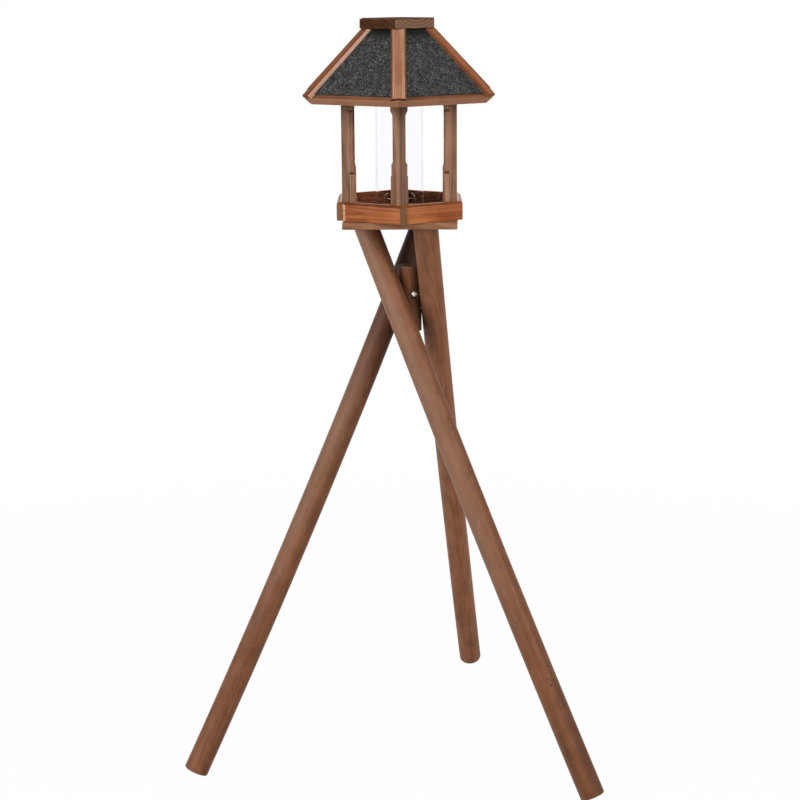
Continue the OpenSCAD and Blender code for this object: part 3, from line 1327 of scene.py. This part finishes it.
            # Painted shade: darker on the right side, and at the head under the plate; towards the
            # foot the pole turns lighter or darker. Painted sheen: the left side of the middle
            # turns pale, less so where the head is shaded.
            head = leg.head * ramp(height, *(self.hub_low + rise for rise in self.stained))
            foot = leg.foot * ramp(height, self.foot_tone_height, 0.0)
            tones.append(leg.tone + leg.right * max(0.0, right) ** 1.5 + head + foot)
            painted_sheen = leg.worn * ramp(height, *self.sheen_heights) * ramp(right, 0.5, -0.5)
            rim = float(0.25 < p.normal.dot(way) < 0.95)
            eased.append(max(painted_sheen * max(0.0, 1.0 + 1.5 * head), rim))
        return eased, tones

    def _level_top(self, mesh: Mesh) -> None:
        """Cuts a pole off level under the plate.

        Args:
            mesh: The pole's mesh.
        """
        with reshaped(mesh) as shape:
            plane_off(shape, Vector((0.0, 0.0, self.plate_z)), UP)
            bmesh.ops.recalc_face_normals(shape, faces=shape.faces)
            for face in shape.faces:
                face.smooth = len(face.verts) < 5
            crease(shape, 50.0)

    @staticmethod
    def _sweep() -> Sculptor:
        """Builds the sweep of the poles.

        Returns:
            The tree that sweeps a round, slightly uneven pole along a line.
        """
        g = Sculptor("pole_sweep", {"Segments": "Int", "Unevenness": "Float", "Way": "Vector"})
        way = g.given["Way"]
        girth = g.add("GeometryNodeInputNamedAttribute", {"Name": "girth"}, data_type="FLOAT")
        circle = {"Resolution": g.given["Segments"], "Radius": 1.0}
        swept = g.get(
            "GeometryNodeCurveToMesh",
            {
                "Curve": g.get("GeometryNodeMeshToCurve", {0: g.given["Piece"]}),
                "Profile Curve": g.get("GeometryNodeCurvePrimitiveCircle", circle),
                "Scale": g.out(girth, "Attribute"),
                "Fill Caps": True,
            },
        )
        place = g.get("GeometryNodeInputPosition")
        along = g.add("ShaderNodeVectorMath", {0: place, 1: way}, operation="DOT_PRODUCT")
        share = g.times(g.out(along, "Value"), 0.92)
        across = g.vector("SUBTRACT", place, g.scaled(way, share))
        wave = g.math("SUBTRACT", g.noise(across, 62.0, detail=1.0), 0.55)
        wave = g.times(wave, g.span(g.height(place), 0.02, 0.10))
        wave = g.times(wave, g.given["Unevenness"])
        offset = g.scaled(g.get("GeometryNodeInputNormal"), wave)
        moved = g.get("GeometryNodeSetPosition", {"Geometry": swept, "Offset": offset})
        g.end(g.get("GeometryNodeRealizeInstances", {0: moved}))
        return g

    @staticmethod
    def lathe(profile: Sequence[tuple[float, float]], segments: int, place: Matrix) -> BMesh:
        """Turns a profile round the Z axis.

        Args:
            profile: (radius, height) pairs from the lower middle out and up to the upper middle.
            segments: How many steps the turn takes.
            place: Where the result goes.

        Returns:
            The turned shape, closed at both ends.
        """
        shape = bmesh.new()
        rings = []
        for radius, height in profile:
            turns = (2.0 * math.pi * k / segments for k in range(segments))
            points = (Vector((radius * math.cos(t), radius * math.sin(t), height)) for t in turns)
            rings.append([shape.verts.new(place @ point) for point in points])
        for low, high in zip(rings, rings[1:]):
            for k in range(segments):
                after = (k + 1) % segments
                shape.faces.new((low[k], low[after], high[after], high[k]))
        shape.faces.new(rings[0][::-1])
        shape.faces.new(rings[-1])
        bmesh.ops.recalc_face_normals(shape, faces=shape.faces)
        return shape

    def _bolt_place(self, leg: Leg) -> Matrix:
        """Works out where a bolt sits.

        Args:
            leg: The leg that it holds.

        Returns:
            A place on the hub's axis with +Z out of the hub's free side.
        """
        out = -leg.side()
        place = Matrix((out.cross(UP), UP, out)).transposed()
        if place.determinant() < 0.0:
            place = Matrix((UP.cross(out), UP, out)).transposed()
        return Matrix.Translation(self.hub_axis + UP * self.bolt_z(leg)) @ place.to_4x4()

    def _hub(self, finish: Material) -> None:
        """Turns the hub post with eased rims and bores the three bolt holes.

        Args:
            finish: Its material.
        """
        rim, radius, low, high = self.hub_rim, self.hub_radius, self.hub_low, self.hub_high
        turns = [math.pi * k / 12.0 for k in range(7)]
        inner, top = radius - rim, low + rim
        rise = [(inner + rim * math.sin(t), top - rim * math.cos(t)) for t in turns]
        steps = [(radius, low + rim + (high - low - 2.0 * rim) * k / 12.0) for k in range(1, 12)]
        fall = [(girth, low + high - height) for girth, height in reversed(rise)]
        shape = self.lathe(rise + steps + fall, 96, Matrix.Translation(self.hub_axis))
        piece = piece_of(shape, "hub_post")
        cutters = [self._bore(piece, leg) for leg in self.legs]
        baked(piece)
        for cutter in cutters:
            body = cutter.data
            bpy.data.objects.remove(cutter)
            bpy.data.meshes.remove(body)
        mesh = piece.data
        mesh.materials.clear()
        mesh.materials.append(finish)
        with reshaped(mesh) as shape:
            for face in shape.faces:
                face.smooth = abs(face.normal.z) < 0.999
            crease(shape, 35.0)
        origin = self.hub_axis + UP * (low + high) / 2.0
        grain = Grain(origin, UP, SIDEWAYS, Vector((3.0, 14.0 * MM, 9.0 * MM)))
        eased = [1.0 if 0.3 < abs(p.normal.z) < 0.95 else 0.0 for p in mesh.polygons]
        # Painted shade: the hub is darker all over, and darker still on its right side.
        mark_wood(mesh, grain, eased, [-0.12 - 0.6 * max(0.0, p.normal.x) for p in mesh.polygons])
        register(piece, Slot.POLES, "hub")

    def _bore(self, piece: Object, leg: Leg) -> Object:
        """Sets up the hole and the counterbore of a bolt.

        Args:
            piece: The hub.
            leg: The leg that the bolt holds.

        Returns:
            The object that cuts the hole.
        """
        seat, reach = self.hub_radius - self.counterbore_depth, self.hub_radius + 5.0 * MM
        bore, wide = self.bore, self.counterbore
        profile = [(bore, -reach), (bore, seat), (wide, seat), (wide, reach)]
        cutter = piece_of(self.lathe(profile, 48, self._bolt_place(leg)), "cutter")
        hole = piece.modifiers.new("bore", "BOOLEAN")
        hole.object = cutter
        hole.solver = "EXACT"
        return cutter

    def _bolt(self, leg: Leg, finish: Material) -> None:
        """Turns one bolt: a shank and a domed head with a socket.

        Args:
            leg: The leg that it holds.
            finish: Its material.
        """
        seat = self.hub_radius - self.counterbore_depth
        end = -(self.hub_radius + self.touch + self.bolt_depth)
        dome = (self.head**2 + self.head_height**2) / (2.0 * self.head_height)
        centre = seat + self.head_height - dome
        start = math.asin(min(1.0, self.head / dome))
        turns = [start * (1.0 - k / 12.0) for k in range(13)]
        point = 0.6 * MM
        profile = [(self.bolt - point, end), (self.bolt, end + point), (self.bolt, seat)]
        profile += [(self.head - 0.2 * MM, seat)]
        arc = [(dome * math.sin(t), centre + dome * math.cos(t)) for t in turns]
        profile += [(radius, height) for radius, height in arc if radius > self.socket * 1.25]
        top = profile[-1][1]
        profile += [(self.socket * 1.18, top + 0.05 * MM), (self.socket, top - 0.25 * MM)]
        profile += [(self.socket, top - 2.0 * MM)]
        shape = self.lathe(profile, 48, self._bolt_place(leg))
        for face in shape.faces:
            face.smooth = True
        crease(shape, 40.0)
        piece = piece_of(shape, f"bolt_{leg.name}", finish)
        register(piece, Slot.STEEL, f"hub_bolt_{leg.name}")


# ---- The studio ----


@dataclass
class Studio:
    """A white floor, soft lights and the camera, which looks at the house."""

    house: Vector
    lens_mm: float = 82.845
    sensor_mm: float = 36.0
    eye: Vector = Vector((0.00257, -3.05759, 1.34770))
    pitch: float = math.radians(13.342)
    roll: float = math.radians(-0.469)
    yaw: float = math.radians(-0.087)
    world_strength: float = 0.16
    floor_glow: float = 0.90
    floor_grey: Triple = (0.50, 0.50, 0.50)
    floor_reach: float = 20.0
    aim: Vector = Vector((0.0, 0.0, 1.05))

    def build(self) -> None:
        """Builds the studio round the feeder."""
        self._camera()
        self._world()
        self._floor()
        self._lamp("key", Vector((2.9, -2.5, 2.6)), 2.8, 124.0)
        self._lamp("fill", Vector((-2.9, -2.5, 2.1)), 3.0, 138.0)
        self._lamp("back", Vector((0.3, 2.5, 3.9)), 2.4, 70.0)
        bpy.context.scene.view_settings.view_transform = "Standard"

    def _camera(self) -> None:
        """Places the camera."""
        camera = bpy.data.cameras.new("camera")
        camera.sensor_width = self.sensor_mm
        camera.lens = self.lens_mm
        camera.clip_end = 60.0
        eye = link(camera, "camera")
        sy, cy, sp, cp = (f(t) for t in (self.yaw, self.pitch) for f in (math.sin, math.cos))
        ahead, right = Vector((sy * cp, cy * cp, -sp)), Vector((cy, -sy, 0.0))
        turn = Matrix((right, right.cross(ahead), -ahead)).transposed().to_4x4()
        turn = Matrix.Translation(self.house + self.eye) @ turn
        eye.matrix_world = turn @ Matrix.Rotation(self.roll, 4, "Z")
        bpy.context.scene.camera = eye

    @staticmethod
    def _seen(g: Graph) -> NodeSocket:
        """Tells what shows the background.

        Args:
            g: The graph that asks.

        Returns:
            1 for rays from the camera, in a mirror or through glass.
        """
        path = g.add("ShaderNodeLightPath").outputs
        seen = g.math("MAXIMUM", path["Is Camera Ray"], path["Is Glossy Ray"])
        return g.math("MAXIMUM", seen, path["Is Transmission Ray"])

    def _world(self) -> None:
        """Makes the world white to look at and softer as a light."""
        world = bpy.data.worlds.new("studio")
        world.use_nodes = True
        bpy.context.scene.world = world
        g = Graph(world.node_tree)
        strength = g.span(self._seen(g), 0.0, 1.0, self.world_strength, 1.0)
        sky = g.get("ShaderNodeBackground", {"Color": (1.0, 1.0, 1.0), "Strength": strength})
        g.add("ShaderNodeOutputWorld", {0: sky})

    def _floor(self) -> None:
        """Makes the floor, which keeps a faint shadow."""
        g = Surface("floor")
        away = g.out(g.add("ShaderNodeVectorMath", {0: g.place()}, operation="LENGTH"), "Value")
        plain = g.get("ShaderNodeBsdfDiffuse", {"Color": self.floor_grey})
        glow = g.get("ShaderNodeEmission", {"Strength": g.span(away, 0.9, 2.2, 1.05, 1.0)})
        share = g.times(self._seen(g), g.span(away, 0.9, 2.2, self.floor_glow, 1.0))
        mixed = g.get("ShaderNodeMixShader", {0: share, 1: plain, 2: glow})
        g.add("ShaderNodeOutputMaterial", {0: mixed})
        mesh = bpy.data.meshes.new("floor")
        reach = self.floor_reach
        corners = [(x * reach, y * reach, 0.0) for x, y in ((-1, -1), (1, -1), (1, 1), (-1, 1))]
        mesh.from_pydata(corners, [], [(0, 1, 2, 3)])
        mesh.materials.append(g.material)
        link(mesh, "floor")

    def _lamp(self, name: str, place: Vector, size: float, watts: float) -> None:
        """Hangs a soft square lamp that points at the house.

        Args:
            name: The lamp's name.
            place: Where it hangs.
            size: The length of its sides.
            watts: Its power.
        """
        lamp = bpy.data.lights.new(name, "AREA")
        lamp.size = size
        lamp.energy = watts
        turn = (self.aim - place).to_track_quat("-Z", "Y").to_matrix().to_4x4()
        link(lamp, name).matrix_world = Matrix.Translation(place) @ turn


def main() -> None:
    """Builds the feeder and its studio."""
    logging.basicConfig(level=logging.INFO, format="%(name)s: %(message)s")
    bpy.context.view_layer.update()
    house = House()
    house.build()
    Stand().build()
    Studio(house.axis).build()


if __name__ == "__main__":
    main()
